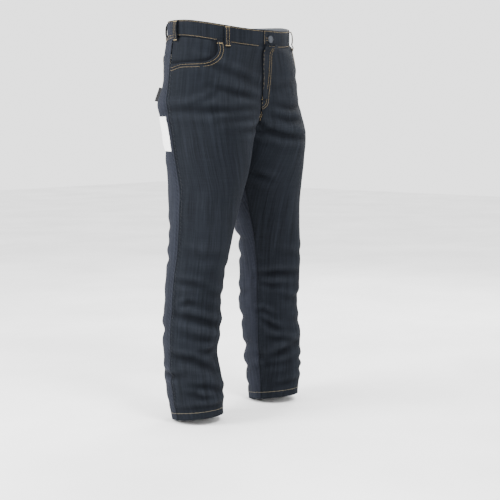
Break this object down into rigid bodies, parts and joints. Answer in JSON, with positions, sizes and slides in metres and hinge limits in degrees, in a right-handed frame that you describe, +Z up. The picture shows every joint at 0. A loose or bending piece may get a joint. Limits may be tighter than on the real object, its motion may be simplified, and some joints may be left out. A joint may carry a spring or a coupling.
{
  "type": "protective chainsaw trousers",
  "caption": "Denim-look work trousers with padded, cut-resistant leg fronts, belt loops, swing pockets and a zip fly.",
  "frame": {"origin": "centre of the wearer's waist, 16 mm above the waistband's top edge at the sides", "axes": "+Z up towards the wearer's head; the wearer faces -Y and the wearer's right leg is on the -X side"},
  "size_m": [0.4326, 0.2695, 0.9607],
  "materials": {
    "denim_front": "matt dark blue-grey denim twill with vertical slubs",
    "denim_back": "the same denim in a lighter grey-blue, matt",
    "denim_band": "dark denim, doubled and topstitched",
    "black_tape": "matt black woven tape",
    "label": "matt white woven label, blank",
    "pad_fibre": "soft off-white cut-protection fibre",
    "lining": "thin dark polyester mesh lining",
    "pocketing": "plain woven dark cotton pocketing",
    "zip_metal": "antique brass, satin",
    "zip_tape": "flat woven zip tape",
    "button_metal": "dark gunmetal coated jeans button, satin"
  },
  "bodies": {
    "seat": {"waistband_outer": "denim_band", "waistband_facing": "denim_band", "belt_loops": "denim_band", "button_tack": "button_metal", "pocket_backings": "denim_front", "pocket_bags": "pocketing", "back_pockets": "denim_back", "pocket_flag": "black_tape", "blank_label": "label", "fly_shield": "denim_band", "left_zip_tape": "zip_tape", "right_zip_tape": "zip_tape", "zip_teeth": "zip_metal", "zip_stop": "zip_metal", "right_front_panel": "denim_front", "right_back_yoke": "denim_back", "right_back_panel": "denim_back", "right_hip_pad": "pad_fibre", "right_seat_lining": "lining", "right_hip_cloth": "denim_front", "right_hip_layers": "pad_fibre", "left_front_panel": "denim_front", "left_back_yoke": "denim_back", "left_back_panel": "denim_back", "left_hip_pad": "pad_fibre", "left_seat_lining": "lining", "left_hip_cloth": "denim_front", "left_hip_layers": "pad_fibre"},
    "fly_flap": {"fly_overlap": "denim_band", "fly_facing": "denim_band", "waistband_tab": "denim_band"},
    "button": {"button": "button_metal"},
    "zip_slider": {"zip_slider": "zip_metal"},
    "zip_pull": {"zip_pull": "zip_metal"},
    "right_thigh": {"right_thigh_front": "denim_front", "right_thigh_back": "denim_back", "right_thigh_pad": "pad_fibre", "right_thigh_lining": "lining", "right_knee_cloth": "denim_front", "right_knee_layers": "pad_fibre"},
    "right_shank": {"right_shin_front": "denim_front", "right_calf_back": "denim_back", "right_shin_pad": "pad_fibre", "right_shin_lining": "lining", "right_hem": "denim_front"},
    "left_thigh": {"left_thigh_front": "denim_front", "left_thigh_back": "denim_back", "left_thigh_pad": "pad_fibre", "left_thigh_lining": "lining", "left_knee_cloth": "denim_front", "left_knee_layers": "pad_fibre"},
    "left_shank": {"left_shin_front": "denim_front", "left_calf_back": "denim_back", "left_shin_pad": "pad_fibre", "left_shin_lining": "lining", "left_hem": "denim_front"}
  },
  "joints": [
    {"name": "right_hip", "type": "hinge", "parent": "seat", "child": "right_thigh", "pos_m": [0, -0.011, -0.205], "axis": [-1, 0, 0], "range_deg": [-15, 60], "deforming": ["right_hip_cloth", "right_hip_layers", "blank_label"]},
    {"name": "right_knee", "type": "hinge", "parent": "right_thigh", "child": "right_shank", "pos_m": [0, 0, -0.53], "axis": [1, 0, 0], "range_deg": [0, 90], "deforming": ["right_knee_cloth", "right_knee_layers"]},
    {"name": "left_hip", "type": "hinge", "parent": "seat", "child": "left_thigh", "pos_m": [0, -0.011, -0.205], "axis": [-1, 0, 0], "range_deg": [-15, 60], "deforming": ["left_hip_cloth", "left_hip_layers"]},
    {"name": "left_knee", "type": "hinge", "parent": "left_thigh", "child": "left_shank", "pos_m": [0, 0, -0.53], "axis": [1, 0, 0], "range_deg": [0, 90], "deforming": ["left_knee_cloth", "left_knee_layers"]},
    {"name": "fly_flap_fold", "type": "hinge", "parent": "seat", "child": "fly_flap", "pos_m": [0.02, -0.1321, -0.062], "axis": [0, -0.0698, 0.9976], "range_deg": [0, 75], "deforming": ["waistband_tab"]},
    {"name": "button_turn", "type": "hinge", "parent": "seat", "child": "button", "pos_m": [0, -0.137, -0.059], "axis": [0, -1, 0], "continuous": true},
    {"name": "zip_slide", "type": "slide", "parent": "seat", "child": "zip_slider", "axis": [0, 0.0698, -0.9976], "range_m": [0, 0.112]},
    {"name": "pull_swing", "type": "hinge", "parent": "zip_slider", "child": "zip_pull", "pos_m": [0, -0.12352, -0.06996], "axis": [-1, 0, 0], "range_deg": [0, 12]}
  ]
}
